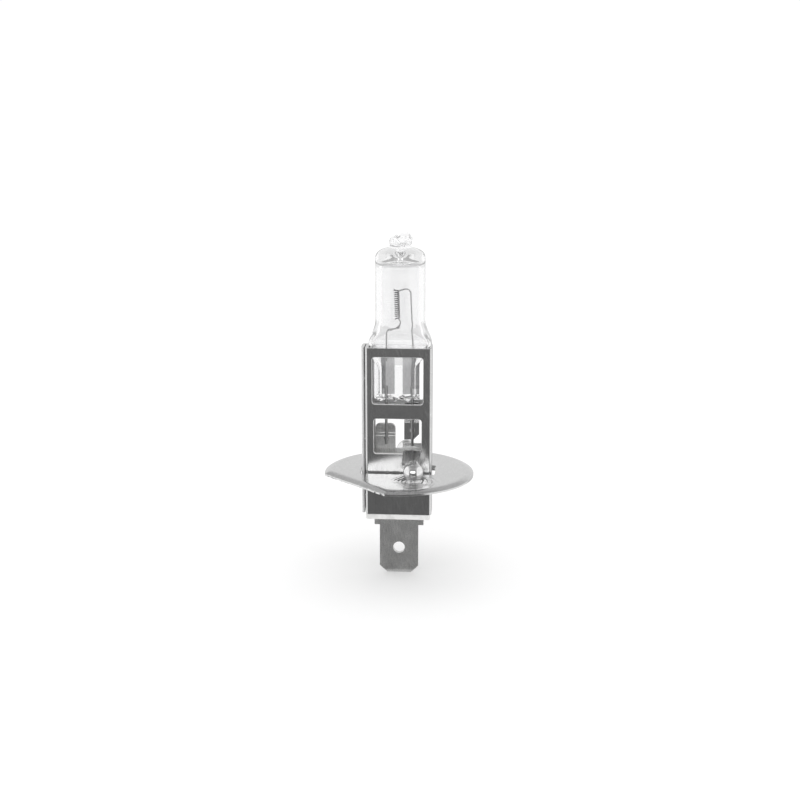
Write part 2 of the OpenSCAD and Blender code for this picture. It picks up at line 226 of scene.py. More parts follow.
def finish_modifier(piece, kind, **settings):
    """Adds a modifier to the piece and applies it."""
    activate(piece)
    made = piece.modifiers.new(kind.lower(), kind)
    for key, value in settings.items():
        setattr(made, key, value)
    bpy.ops.object.modifier_apply(modifier=made.name)


def settle(piece, name, body="root", stands_for=(), smooth=35):
    """Names a finished piece, puts its place into its mesh and hangs it on the frame."""
    fix_place(piece)
    bpy.ops.object.shade_smooth_by_angle(angle=math.radians(smooth))
    if smooth < 50:
        # Shades the plates of a flat-sided piece flat, right up to their broken edges
        finish_modifier(piece, "WEIGHTED_NORMAL", keep_sharp=True, weight=80)
    piece.name = name
    piece.data.name = name
    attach(piece, body)
    if stands_for:
        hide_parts(*stands_for)


def nodes_of(material):
    """The material's tree, its Principled shader and a function that adds a node."""
    material.use_nodes = True
    tree = material.node_tree
    return tree, tree.nodes["Principled BSDF"], node_maker(tree)


def new_group(name, inputs, outputs):
    """An empty shader node group with its sockets, as (group, input node, output node, add, link)."""
    group = bpy.data.node_groups.new(name, "ShaderNodeTree")
    for label, kind, value in inputs:
        socket = group.interface.new_socket(name=label, in_out="INPUT", socket_type=kind)
        socket.default_value = value
    for label, kind in outputs:
        group.interface.new_socket(name=label, in_out="OUTPUT", socket_type=kind)
    add = node_maker(group)
    return group, add("NodeGroupInput"), add("NodeGroupOutput"), add, group.links.new


# Grain of rolled or drawn metal: a fine speckle and long streaks along the rolling direction
grain, grain_in, grain_out, grain_add, grain_link = new_group(
    "metal_grain",
    [("Stretch", "NodeSocketVector", (1, 1, 0.08)), ("Size", "NodeSocketFloat", 9000),
     ("Depth", "NodeSocketFloat", 0.000002)],
    [("Speckle", "NodeSocketFloat"), ("Streak", "NodeSocketFloat"), ("Normal", "NodeSocketVector")])
grain_place = grain_add("ShaderNodeTexCoord")
grain_pull = grain_add("ShaderNodeVectorMath", operation="MULTIPLY")
grain_fine = grain_add("ShaderNodeTexNoise")
grain_fine.inputs["Detail"].default_value = 3
grain_long = grain_add("ShaderNodeTexNoise")
grain_long.inputs["Detail"].default_value = 4
grain_sum = grain_add("ShaderNodeMath", operation="ADD")
grain_bump = grain_add("ShaderNodeBump")
grain_bump.inputs["Strength"].default_value = 1
grain_link(grain_place.outputs["Object"], grain_pull.inputs[0])
grain_link(grain_in.outputs["Stretch"], grain_pull.inputs[1])
grain_link(grain_place.outputs["Object"], grain_fine.inputs["Vector"])
grain_link(grain_pull.outputs[0], grain_long.inputs["Vector"])
for texture in (grain_fine, grain_long):
    grain_link(grain_in.outputs["Size"], texture.inputs["Scale"])
grain_link(grain_fine.outputs["Fac"], grain_sum.inputs[0])
grain_link(grain_long.outputs["Fac"], grain_sum.inputs[1])
grain_link(grain_sum.outputs[0], grain_bump.inputs["Height"])
grain_link(grain_in.outputs["Depth"], grain_bump.inputs["Distance"])
grain_link(grain_fine.outputs["Fac"], grain_out.inputs["Speckle"])
grain_link(grain_long.outputs["Fac"], grain_out.inputs["Streak"])
grain_link(grain_bump.outputs[0], grain_out.inputs["Normal"])

# Worn edges with a painted highlight: how far the surface turns within a small radius, broken up by noise.
# The mask lightens edges both as real wear and as a painted glint along them
wear_and_glint, wear_and_glint_in, wear_and_glint_out, wear_and_glint_add, wear_and_glint_link = new_group(
    "worn_and_glinting_edges",
    [("Radius", "NodeSocketFloat", 0.00008), ("Gain", "NodeSocketFloat", 3)],
    [("Mask", "NodeSocketFloat")])
wear_and_glint_round = wear_and_glint_add("ShaderNodeBevel", samples=4)
wear_and_glint_true = wear_and_glint_add("ShaderNodeNewGeometry")
wear_and_glint_dot = wear_and_glint_add("ShaderNodeVectorMath", operation="DOT_PRODUCT")
wear_and_glint_turn = wear_and_glint_add("ShaderNodeMath", operation="SUBTRACT")
wear_and_glint_turn.inputs[0].default_value = 1
wear_and_glint_place = wear_and_glint_add("ShaderNodeTexCoord")
wear_and_glint_noise = wear_and_glint_add("ShaderNodeTexNoise")
wear_and_glint_noise.inputs["Scale"].default_value = 2600
wear_and_glint_gain = wear_and_glint_add("ShaderNodeMath", operation="MULTIPLY")
wear_and_glint_break = wear_and_glint_add("ShaderNodeMath", operation="MULTIPLY", use_clamp=True)
wear_and_glint_link(wear_and_glint_in.outputs["Radius"], wear_and_glint_round.inputs["Radius"])
wear_and_glint_link(wear_and_glint_round.outputs[0], wear_and_glint_dot.inputs[0])
wear_and_glint_link(wear_and_glint_true.outputs["True Normal"], wear_and_glint_dot.inputs[1])
wear_and_glint_link(wear_and_glint_dot.outputs["Value"], wear_and_glint_turn.inputs[1])
wear_and_glint_link(wear_and_glint_turn.outputs[0], wear_and_glint_gain.inputs[0])
wear_and_glint_link(wear_and_glint_in.outputs["Gain"], wear_and_glint_gain.inputs[1])
wear_and_glint_link(wear_and_glint_place.outputs["Object"], wear_and_glint_noise.inputs["Vector"])
wear_and_glint_link(wear_and_glint_gain.outputs[0], wear_and_glint_break.inputs[0])
wear_and_glint_link(wear_and_glint_noise.outputs["Fac"], wear_and_glint_break.inputs[1])
wear_and_glint_link(wear_and_glint_break.outputs[0], wear_and_glint_out.inputs["Mask"])

# Hairline scratches: thin contour lines of a stretched, turned noise
hair, hair_in, hair_out, hair_add, hair_link = new_group(
    "hairlines",
    [("Turn", "NodeSocketVector", (0, 0.5, 0)), ("Size", "NodeSocketFloat", 500),
     ("Width", "NodeSocketFloat", 0.006)],
    [("Mask", "NodeSocketFloat")])
hair_place = hair_add("ShaderNodeTexCoord")
hair_turn = hair_add("ShaderNodeVectorRotate", rotation_type="EULER_XYZ")
hair_pull = hair_add("ShaderNodeVectorMath", operation="MULTIPLY")
hair_pull.inputs[1].default_value = (1, 1, 0.12)
hair_noise = hair_add("ShaderNodeTexNoise")
hair_noise.inputs["Detail"].default_value = 2
hair_mid = hair_add("ShaderNodeMath", operation="SUBTRACT")
hair_mid.inputs[1].default_value = 0.5
hair_off = hair_add("ShaderNodeMath", operation="ABSOLUTE")
hair_line = hair_add("ShaderNodeMath", operation="LESS_THAN")
hair_link(hair_place.outputs["Object"], hair_turn.inputs["Vector"])
hair_link(hair_in.outputs["Turn"], hair_turn.inputs["Rotation"])
hair_link(hair_turn.outputs[0], hair_pull.inputs[0])
hair_link(hair_pull.outputs[0], hair_noise.inputs["Vector"])
hair_link(hair_in.outputs["Size"], hair_noise.inputs["Scale"])
hair_link(hair_noise.outputs["Fac"], hair_mid.inputs[0])
hair_link(hair_mid.outputs[0], hair_off.inputs[0])
hair_link(hair_off.outputs[0], hair_line.inputs[0])
hair_link(hair_in.outputs["Width"], hair_line.inputs[1])
hair_link(hair_line.outputs[0], hair_out.inputs["Mask"])


def metal(name, dull, bright, rough, spread, grain_size, grain_depth, stretch, edge=1.0, scratch=0.3):
    """A bare metal: two tones clouded into each other, grain, edges lightened both by wear and by a painted
    highlight, and hairlines.
    """
    material = bpy.data.materials.new(name)
    tree, shader, add = nodes_of(material)
    link = tree.links.new
    rolled = add("ShaderNodeGroup", node_tree=grain)
    rolled.inputs["Size"].default_value = grain_size
    rolled.inputs["Depth"].default_value = grain_depth
    rolled.inputs["Stretch"].default_value = stretch
    worn_and_glinting = add("ShaderNodeGroup", node_tree=wear_and_glint)
    worn_and_glinting.inputs["Gain"].default_value = 3 * edge
    lines = add("ShaderNodeGroup", node_tree=hair)
    place = add("ShaderNodeTexCoord")
    cloud = add("ShaderNodeTexNoise")
    cloud.inputs["Scale"].default_value = 420
    cloud.inputs["Detail"].default_value = 5
    cloud.inputs["Roughness"].default_value = 0.65
    link(place.outputs["Object"], cloud.inputs["Vector"])
    speckle = add("ShaderNodeMapRange")
    speckle.inputs["From Min"].default_value = 0.3
    speckle.inputs["From Max"].default_value = 0.7
    link(rolled.outputs["Speckle"], speckle.inputs["Value"])
    share = add("ShaderNodeMath", operation="MULTIPLY")
    link(cloud.outputs["Fac"], share.inputs[0])
    link(speckle.outputs[0], share.inputs[1])
    streak = add("ShaderNodeMath", operation="MULTIPLY_ADD", use_clamp=True)
    streak.inputs[1].default_value = 0.9
    link(rolled.outputs["Streak"], streak.inputs[0])
    link(share.outputs[0], streak.inputs[2])
    tone = add("ShaderNodeMix", data_type="RGBA")
    tone.inputs[6].default_value = (*dull, 1)
    tone.inputs[7].default_value = (*bright, 1)
    link(streak.outputs[0], tone.inputs[0])
    marks = add("ShaderNodeMath", operation="MULTIPLY_ADD", use_clamp=True)
    marks.inputs[1].default_value = scratch
    link(lines.outputs[0], marks.inputs[0])
    link(worn_and_glinting.outputs[0], marks.inputs[2])
    # Hairlines and the edge mask lighten the tone: real scratches and wear, plus a painted highlight on the
    # edges
    rubbed_and_glinting = add("ShaderNodeMix", data_type="RGBA")
    rubbed_and_glinting.inputs[7].default_value = (*[min(0.85, c * 1.3) for c in bright], 1)
    # Worn edges scatter light, so they count as partly matt; the same mask also carries the edges' painted
    # highlight
    burr = add("ShaderNodeMath", operation="MULTIPLY_ADD", use_clamp=True)
    burr.inputs[1].default_value = -0.6
    burr.inputs[2].default_value = 1
    link(worn_and_glinting.outputs[0], burr.inputs[0])
    link(burr.outputs[0], shader.inputs["Metallic"])
    link(tone.outputs[2], rubbed_and_glinting.inputs[6])
    link(marks.outputs[0], rubbed_and_glinting.inputs[0])
    link(rubbed_and_glinting.outputs[2], shader.inputs["Base Color"])
    gloss = add("ShaderNodeMapRange")
    gloss.inputs["To Min"].default_value = rough - spread
    gloss.inputs["To Max"].default_value = rough + spread
    link(cloud.outputs["Fac"], gloss.inputs["Value"])
    link(gloss.outputs[0], shader.inputs["Roughness"])
    link(rolled.outputs["Normal"], shader.inputs["Normal"])
    return material


foil_metal = metal("pressed_molybdenum", (0.42, 0.42, 0.425), (0.6, 0.6, 0.605), 0.42, 0.08,
                   5000, 3e-6, (1, 1, 0.15), edge=0.4, scratch=0.15)
tab_metal = metal("flattened_molybdenum", (0.22, 0.22, 0.225), (0.36, 0.36, 0.365), 0.4, 0.08,
                  7000, 3e-6, (1, 1, 0.08), edge=0.6, scratch=0.3)
for side in ("left", "right"):
    low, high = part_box("foil_" + side)
    deselect()
    bpy.ops.mesh.primitive_grid_add(x_subdivisions=22, y_subdivisions=56, size=1)
    foil = bpy.context.object
    middle = (low + high) / 2
    for vert in foil.data.vertices:
        across, up = vert.co.x * 2, vert.co.y
        crease_at = Vector((across * 1.5, up * 7, low.x * 900))
        wander_at = Vector((up * 22, across * 0.6, high.x * 700))
        wave = foil_ripple * math.sin(up * 41 + across * 2) + foil_crease * noise.noise(crease_at)
        edge_wave = edge_wander * noise.noise(wander_at)
        vert.co = Vector((middle.x + across * (high.x - low.x - foil_margin) / 2 + edge_wave,
                          middle.y + wave * (1 - across ** 4),
                          middle.z + up * (high.z - low.z)))
    finish_modifier(foil, "SOLIDIFY", thickness=foil_t, offset=0)
    for vert in foil.data.vertices:
        across = (vert.co.x - middle.x) / ((high.x - low.x) / 2)
        thin = 1 - etched_share * max(0, (abs(across) - etched_from) / (1 - etched_from))
        vert.co.y = middle.y + (vert.co.y - middle.y) * thin
    foil.data.materials.append(foil_metal)
    outward = math.copysign(1, middle.x)
    tab_x = middle.x + outward * ((high.x - low.x) / 2 - tab_w / 2)
    deselect()
    bpy.ops.mesh.primitive_cube_add(size=1, location=(tab_x, low.y - tab_t / 2, (high.z + tab_low) / 2),
                                    scale=(tab_w, tab_t, high.z - tab_low))
    tab = bpy.context.object
    tab.data.materials.append(tab_metal)
    activate(foil)
    tab.select_set(True)
    bpy.ops.object.join()
    settle(foil, "foil_" + side + "_ribbon", stands_for=["foil_" + side])


# ---- Filament ----
# A close coil of tungsten wire on the lamp's axis, wound on a mandrel; the ends run out straight and
# are pinched into the tips of the inner leads.

coil_low, coil_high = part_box("filament_coil")
coil_turns = 14
coil_wire_r = 0.092 * mm
coil_steps = 28
coil_r = (coil_high.y - coil_low.y) / 2 - coil_wire_r
coil_foot = Vector((-0.25, 0, 25.0)) * mm
coil_head = Vector((-0.41, 0, 29.4)) * mm
coil_axis = coil_head - coil_foot
coil_lift = coil_axis.length / coil_turns

deselect()
bpy.ops.mesh.primitive_circle_add(vertices=10, radius=coil_wire_r, location=(coil_r, 0, 0),
                                  rotation=(math.radians(90), 0, 0))
coil = bpy.context.object
fix_place(coil)
finish_modifier(coil, "SCREW", axis="Z", screw_offset=coil_lift, iterations=coil_turns, steps=coil_steps,
                render_steps=coil_steps, use_normal_calculate=True, use_merge_vertices=False)
coil.data.transform(Matrix.Translation(coil_foot) @ coil_axis.to_track_quat("Z", "Y").to_matrix().to_4x4())
activate(coil)
bpy.ops.object.mode_set(mode="EDIT")
for at_foot in (True, False):
    # The open ring at each end is drawn in to the axis and then along it to the lead
    bpy.ops.mesh.select_mode(type="EDGE")
    bpy.ops.mesh.select_all(action="DESELECT")
    shell = bmesh.from_edit_mesh(coil.data)
    for rim in shell.edges:
        near_foot = (rim.verts[0].co - coil_foot).length < (rim.verts[0].co - coil_head).length
        if rim.is_boundary and near_foot == at_foot:
            rim.select_set(True)
    bmesh.update_edit_mesh(coil.data)
    along = -1 if at_foot else 1
    for x, y, z in ((-0.5, 0.25, 0.12), (-0.4, -0.1, 0.25), (-0.1, 0, 0.2)):
        bpy.ops.mesh.extrude_region_move(
            TRANSFORM_OT_translate={"value": (x * coil_r, along * y * coil_r, along * z * coil_r)})
    bpy.ops.mesh.edge_face_add()
bpy.ops.mesh.select_all(action="SELECT")
bpy.ops.mesh.normals_make_consistent(inside=False)
bpy.ops.object.mode_set(mode="OBJECT")
tungsten = metal("recrystallised_tungsten", (0.03, 0.03, 0.032), (0.1, 0.1, 0.105), 0.4, 0.1,
                 30000, 2e-6, (1, 1, 1), edge=0.2, scratch=0.0)
tree, shader, add = nodes_of(tungsten)
# A painted sheen: the wire's colour turns light grey where its surface turns away from the eye, standing in
# for the glint on the sides of the round turns
painted_sheen_weight = add("ShaderNodeLayerWeight")
painted_sheen_weight.inputs["Blend"].default_value = 0.5
painted_sheen_tone = add("ShaderNodeMix", data_type="RGBA")
painted_sheen_tone.inputs[7].default_value = (0.85, 0.85, 0.85, 1)
tree.links.new(painted_sheen_weight.outputs["Facing"], painted_sheen_tone.inputs[0])
tree.links.new(shader.inputs["Base Color"].links[0].from_socket, painted_sheen_tone.inputs[6])
tree.links.new(painted_sheen_tone.outputs[2], shader.inputs["Base Color"])
coil.data.materials.append(tungsten)
settle(coil, "tungsten_coil", stands_for=["filament_coil"], smooth=60)


# ---- Leads ----
# Inner leads of thin molybdenum wire hold the coil; thicker outer leads run from the foils down to
# the blade's stem and the earth tab. They are drawn wire, cut off square.


def worked(node, edge=0.0, steps=2, limit=30):
    """A CAD node's shape as one welded mesh, with its flat faces cleaned and its sharp edges broken."""
    piece = bpy.data.objects.new(node + "_part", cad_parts[node].data.copy())
    scene.collection.objects.link(piece)
    activate(piece)
    bpy.ops.mesh.customdata_custom_splitnormals_clear()
    bpy.ops.object.mode_set(mode="EDIT")
    bpy.ops.mesh.select_all(action="SELECT")
    bpy.ops.mesh.remove_doubles(threshold=0.0005 * mm)
    bpy.ops.mesh.dissolve_limited(angle_limit=math.radians(0.5))
    bpy.ops.object.mode_set(mode="OBJECT")
    piece.data.materials.clear()
    if edge:
        finish_modifier(piece, "BEVEL", width=edge, segments=steps, limit_method="ANGLE",
                        angle_limit=math.radians(limit), use_clamp_overlap=True)
    return piece


lead_metal = metal("drawn_molybdenum_wire", (0.28, 0.28, 0.28), (0.5, 0.5, 0.5), 0.34, 0.08,
                   9000, 2e-6, (1, 1, 0.05), edge=0.4, scratch=0.2)
for place, edge in (("inner_lead", 0), ("outer_lead", 0.04 * mm)):
    for side in ("left", "right"):
        node = place + "_" + side
        lead = worked(node, edge)
        lead.data.materials.append(lead_metal)
        settle(lead, node + "_wire", stands_for=[node], smooth=50)


# ---- Quartz envelope ----
# One piece of fused quartz: a drawn tube with a tipped-off top, flattened at the bottom and pressed
# on the foils into a thin web between two ribs. The hollow inside is closed by the pinch.

glass_r = (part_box("glass_envelope")[1].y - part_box("glass_envelope")[0].y) / 2
glass_wall = 0.95 * mm
flare_wall = 0.55 * mm
glass_x = 0.2 * mm
glass_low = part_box("glass_envelope")[0].z
flare_top = 24.8 * mm
flare_low = 21.0 * mm
flare_foot = 20.6 * mm
flare_out = 1.1 * mm
shoulder_top = 20.2 * mm
neck_low = 17.1 * mm
pinch_x = -0.36 * mm
pinch_half_w = 3.64 * mm
shoulder_half_w = 4.75 * mm
rib_half_t = 1.39 * mm
web_half_t = 0.88 * mm
rib_r = 0.55 * mm
rib_arc = math.radians(112)
rib_share = math.radians(42)
rib_fade = 1.8 * mm
web_fall = 0.6 * mm
ring_points = 240


def ease(t):
    """A smooth step from 0 to 1 as t goes from 0 to 1."""
    t = min(1.0, max(0.0, t))
    return t * t * (3 - 2 * t)


def ribbed_point(a):
    """A point of the pinch's outline: a round rib at each side, and a flat web between them."""
    quarter = math.pi / 2 - abs(math.pi / 2 - abs(math.remainder(a, 2 * math.pi)))
    rib_x = pinch_half_w - rib_r
    if quarter < rib_share:
        turn = quarter / rib_share * rib_arc
        x, y = rib_x + rib_r * math.cos(turn), rib_half_t * math.sin(turn)
    else:
        edge_x = rib_x + rib_r * math.cos(rib_arc)
        x = edge_x * (math.pi / 2 - quarter) / (math.pi / 2 - rib_share)
        fall = ease((edge_x - x) / web_fall)
        y = rib_half_t * math.sin(rib_arc) * (1 - fall) + web_half_t * fall
    return math.copysign(x, math.cos(a)), math.copysign(y, math.sin(a))


def quartz_ring(z, inset=0.0, shrink=1.0, drop=None):
    """The tube's outline at height z: round above the flare, flattened below it, ribbed in the pinch."""
    flat = 1 - ease((z - flare_low) / (flare_top - flare_low))
    if z > flare_foot:
        half_w = glass_r + flare_out * (1 - ease((z - flare_foot) / (flare_top - flare_foot))) ** 1.3
    else:
        rise = ease((z - neck_low) / (shoulder_top - neck_low))
        half_w = pinch_half_w + (shoulder_half_w - pinch_half_w) * rise
    half_t = rib_half_t + (glass_r - rib_half_t) * (1 - flat)
    middle = pinch_x + (glass_x - pinch_x) * ease((z - neck_low) / (flare_foot - neck_low))
    power = 2 + 4.5 * flat
    ribbed = 1 - ease((z - neck_low) / rib_fade)
    ring = []
    for k in range(ring_points):
        a = 2 * math.pi * (k + 0.5) / ring_points
        c, s = math.cos(a), math.sin(a)
        reach = (abs(c) ** power + abs(s) ** power) ** (-1 / power)
        x = (half_w - inset) * reach * c * shrink
        y = (half_t - inset) * reach * s * shrink
        if ribbed:
            rib_x, rib_y = ribbed_point(a)
            x += (rib_x - x) * ribbed
            y += (rib_y - y) * ribbed
        ring.append(Vector((middle + x, y, z if drop is None else drop)))
    return ring


def round_ring(radius, z, x=glass_x, y=0.0):
    angles = [2 * math.pi * (k + 0.5) / ring_points for k in range(ring_points)]
    return [Vector((x + radius * math.cos(a), y + radius * math.sin(a), z)) for a in angles]


def skin(name, rings, inward=False):
    """A closed skin through rings that are listed from low to high."""
    shell = bmesh.new()
    made = [[shell.verts.new(point) for point in ring] for ring in rings]
    for low_ring, high_ring in zip(made, made[1:]):
        for k in range(ring_points):
            n = (k + 1) % ring_points
            shell.faces.new((low_ring[k], low_ring[n], high_ring[n], high_ring[k]))
    for ring, turned in ((made[0], True), (made[-1], False)):
        centre = shell.verts.new(sum((vert.co for vert in ring), Vector()) / ring_points)
        for k in range(ring_points):
            n = (k + 1) % ring_points
            corners = (ring[k], ring[n], centre)
            shell.faces.new(corners[::-1] if turned else corners)
    if inward:
        bmesh.ops.reverse_faces(shell, faces=shell.faces)
    data = bpy.data.meshes.new(name)
    shell.to_mesh(data)
    shell.free()
    piece = bpy.data.objects.new(name, data)
    scene.collection.objects.link(piece)
    return piece


# Outer skin: scalloped lower end, pinch, flare, straight tube, dome, neck and the lumpy tip
scallop_h = 1.25
least_half_t = 0.1 * mm
outer = []
for inset, lift in ((0.26, 0.0), (0.1, 0.05), (0.02, 0.15), (0, 0.4), (0, 0.8), (0, scallop_h)):
    ring = quartz_ring(glass_low)
    for point in ring:
        across = point.x / mm
        scallop = 0.85 * abs(math.sin(across * 1.45 + 0.9)) ** 1.5
        scallop += 0.35 * noise.noise(Vector((across * 1.3, 3, 1)))
        fade = 1 - lift / scallop_h
        bulge = 0.5 * noise.noise(Vector((across * 1.9, lift * 2.2 + 4, math.copysign(2, point.y))))
        point.z = glass_low + (lift + max(0, scallop) * fade) * mm
        half_t = abs(point.y) - inset * mm + bulge * fade * mm * 0.6
        point.y = math.copysign(max(least_half_t, half_t), point.y)
    outer.append(ring)
for z in (13.2, 13.8, 14.6, 15.6, 16.4, 17.1, 17.5, 17.9, 18.3, 18.8, 19.3, 19.8, 20.2, 20.5, 20.8, 21.1,
          21.5, 22.0, 22.5, 23.0, 23.5, 24.0, 24.4, 24.8):
    outer.append(quartz_ring(z * mm))
dome = [(1.0, 27.0), (1.0, 30.0), (1.0, 33.0), (1.0, 34.3), (0.992, 34.65), (0.965, 35.0), (0.915, 35.3),
        (0.84, 35.55), (0.74, 35.74), (0.65, 35.87), (0.57, 35.97), (0.51, 36.05), (0.465, 36.14),
        (0.435, 36.25), (0.415, 36.38)]
for share, z in dome:
    outer.append(round_ring(glass_r * share, z * mm))
# The tip's rings, as (radius, height, x, y)
tip = [(1.7, 36.52, 0.27, 0), (1.69, 36.64, 0.28, 0), (1.73, 36.76, 0.3, 0), (1.76, 36.92, 0.31, 0),
       (1.78, 37.1, 0.31, 0), (1.78, 37.3, 0.32, 0.02), (1.72, 37.5, 0.36, 0.04), (1.55, 37.7, 0.46, 0.06),
       (1.32, 37.88, 0.62, 0.08), (1.08, 38.04, 0.76, 0.1), (0.84, 38.18, 0.88, 0.1), (0.6, 38.3, 0.93, 0.1),
       (0.34, 38.38, 0.95, 0.1), (0.14, 38.41, 0.95, 0.1)]
for radius, z, x, y in tip:
    ring = round_ring(radius * mm, z * mm, x * mm, y * mm)
    centre = Vector((x, y, z)) * mm
    grip = ease((z - 36.4) / 0.5) * min(1.0, radius / 0.9)
    for point in ring:
        out = (point - centre).normalized()
        spot = point / mm
        lump = 0.17 * noise.noise(spot * 1.15 + Vector((4, 2, 7))) + 0.1 * noise.noise(spot * 2.7)
        point += out * lump * grip * mm
        point.z += 0.09 * mm * grip * noise.noise(spot * 2.1 + Vector((9, 1, 3)))
    outer.append(ring)
quartz = skin("quartz_outer", outer)

# Hollow: a rounded floor over the pinch, the straight bore, a low dome and the collapsed exhaust bore
hollow = []
for shrink, z in ((0.35, 19.5), (0.65, 19.53), (0.84, 19.6), (0.95, 19.75)):
    hollow.append(quartz_ring(20.3 * mm, flare_wall, shrink, z * mm))
for z in (20.1, 20.5, 20.8, 21.1, 21.4, 21.8, 22.3, 22.8, 23.3, 23.8, 24.3, 24.8):
    thick = flare_wall + (glass_wall - flare_wall) * ease((z - 20.5) / 4.3)
    hollow.append(quartz_ring(z * mm, thick))
bore_r = glass_r - glass_wall
for share, z in ((1, 27), (1, 30), (1, 33.0), (0.985, 33.35), (0.95, 33.6), (0.89, 33.8), (0.8, 33.97),
                 (0.68, 34.09), (0.54, 34.18), (0.38, 34.24), (0.22, 34.3)):
    hollow.append(round_ring(bore_r * share, z * mm))
for radius, z in ((0.36, 34.42), (0.3, 34.56), (0.34, 34.72), (0.26, 34.86), (0.1, 34.92)):
    hollow.append(round_ring(radius * mm, z * mm))
hollow_skin = skin("quartz_hollow", hollow, inward=True)

# Seal voids: the flattened bubbles that stay in the glass where the exhaust tube was melted shut
bubbles = [((-0.45, -0.35, 37.0), 0.42, (1, 0.5, 0.6)), ((1.2, -0.2, 36.95), 0.3, (0.8, 0.5, 1)),
           ((0.5, 0.1, 36.6), 0.5, (1.5, 0.6, 0.3)), ((0.75, -0.3, 37.5), 0.26, (1.4, 0.5, 0.5))]
voids = [hollow_skin]
for place, radius, squash in bubbles:
    deselect()
    bpy.ops.mesh.primitive_uv_sphere_add(segments=24, ring_count=14, radius=radius * mm)
    void = bpy.context.object
    for vert in void.data.vertices:
        spot = vert.co / mm
        vert.co *= 1 + 0.55 * noise.noise(spot * 3.4 + Vector(place))
        squashed = [length * share for length, share in zip(vert.co, squash)]
        vert.co = Vector(squashed) + Vector(place) * mm
    void.data.flip_normals()
    voids.append(void)
activate(quartz)
for part in voids:
    part.select_set(True)
bpy.ops.object.join()

clear_quartz = bpy.data.materials.new("fused_quartz")
tree, shader, add = nodes_of(clear_quartz)
shader.inputs["Transmission Weight"].default_value = 1
shader.inputs["IOR"].default_value = 1.46
quartz_place = add("ShaderNodeTexCoord")
quartz_pull = add("ShaderNodeVectorMath", operation="MULTIPLY")
quartz_pull.inputs[1].default_value = (1, 1, 0.1)
striae = add("ShaderNodeTexNoise")
striae.inputs["Scale"].default_value = 700
striae.inputs["Detail"].default_value = 2
quartz_bump = add("ShaderNodeBump")
quartz_bump.inputs["Strength"].default_value = 1
quartz_bump.inputs["Distance"].default_value = 0.000012
haze = add("ShaderNodeTexNoise")
haze.inputs["Scale"].default_value = 350
haze_rough = add("ShaderNodeMapRange")
haze_rough.inputs["From Min"].default_value = 0.45
haze_rough.inputs["From Max"].default_value = 0.8
haze_rough.inputs["To Max"].default_value = 0.05
haze_tone = add("ShaderNodeMix", data_type="RGBA")
haze_tone.inputs[6].default_value = (0.925, 0.925, 0.925, 1)
haze_tone.inputs[7].default_value = (0.87, 0.87, 0.875, 1)
link = tree.links.new
link(quartz_place.outputs["Object"], quartz_pull.inputs[0])
link(quartz_pull.outputs[0], striae.inputs["Vector"])
link(striae.outputs["Fac"], quartz_bump.inputs["Height"])
link(quartz_bump.outputs[0], shader.inputs["Normal"])
link(quartz_place.outputs["Object"], haze.inputs["Vector"])
link(haze.outputs["Fac"], haze_rough.inputs["Value"])
link(haze_rough.outputs[0], shader.inputs["Roughness"])
link(haze.outputs["Fac"], haze_tone.inputs[0])
link(haze_tone.outputs[2], shader.inputs["Base Color"])
# A painted glow: the glass itself gives off white light on rays that have turned round many times inside it,
# so that this light counts as let out, not as lost
quartz_path = add("ShaderNodeLightPath")
painted_glow_strength = add("ShaderNodeMapRange")
painted_glow_strength.inputs["From Min"].default_value = 4
painted_glow_strength.inputs["From Max"].default_value = 8
painted_glow_strength.inputs["To Max"].default_value = 0.62
shader.inputs["Emission Color"].default_value = (1, 1, 1, 1)
link(quartz_path.outputs["Ray Depth"], painted_glow_strength.inputs["Value"])
link(painted_glow_strength.outputs[0], shader.inputs["Emission Strength"])
quartz.data.materials.append(clear_quartz)
settle(quartz, "quartz_envelope", stands_for=["glass_envelope", "exhaust_tip"], smooth=55)


# ---- Contact blade ----
# One stamping of tinned steel strip: the flat blade with its latching hole, the stop shoulders, and a
# narrow stem that runs up through the insulator and is creased back behind the left lead.

blade_metal = metal("tinned_blade_steel", (0.4, 0.4, 0.4), (0.8, 0.8, 0.79), 0.34, 0.08,
                    7000, 4e-6, (1, 1, 0.12), edge=1.0, scratch=0.35)
blade_low, blade_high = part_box("blade_terminal")
blade_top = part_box("ceramic_insulator")[0].z
blade_w = 6.3 * mm
blade_t = 0.8 * mm
shoulder_low = blade_top - 1.4 * mm
corner_cut = 1.2 * mm
lead_in = 0.65 * mm
hole_r = 0.93 * mm
hole_z = -13.15 * mm
near = 0.1 * mm
flank = blade_w * 0.49

deselect()
bpy.ops.mesh.primitive_cube_add(size=1, location=(0, 0, (blade_low.z + blade_top) / 2),
                                scale=(blade_w, blade_t, blade_top - blade_low.z))
blade = bpy.context.object
fix_place(blade)
bpy.ops.object.mode_set(mode="EDIT")
bpy.ops.mesh.select_all(action="SELECT")
bpy.ops.mesh.bisect(plane_co=(0, 0, shoulder_low), plane_no=(0, 0, 1))
for side in (-1, 1):
    pick(blade, lambda p: p.x * side > flank and p.z > shoulder_low)
    bpy.ops.mesh.extrude_region_move(
        TRANSFORM_OT_translate={"value": (side * (blade_high.x - blade_low.x - blade_w) / 2, 0, 0)})
pick(blade, lambda p: abs(p.x) > flank and abs(p.y) < near and p.z < blade_low.z + near, "edges")
bpy.ops.mesh.bevel(offset=corner_cut, segments=1)
bpy.ops.mesh.select_all(action="SELECT")
bpy.ops.mesh.bisect(plane_co=(0, 0, blade_low.z + lead_in), plane_no=(0, 0, 1))
pick(blade, lambda p: p.z < blade_low.z + near, "verts")
bpy.ops.transform.resize(value=(1, 0.5, 1), center_override=(0, 0, blade_low.z))
bpy.ops.object.mode_set(mode="OBJECT")
deselect()
bpy.ops.mesh.primitive_cylinder_add(vertices=64, radius=hole_r, depth=3 * blade_t, location=(0, 0, hole_z),
                                    rotation=(math.radians(90), 0, 0))
hole_punch = bpy.context.object
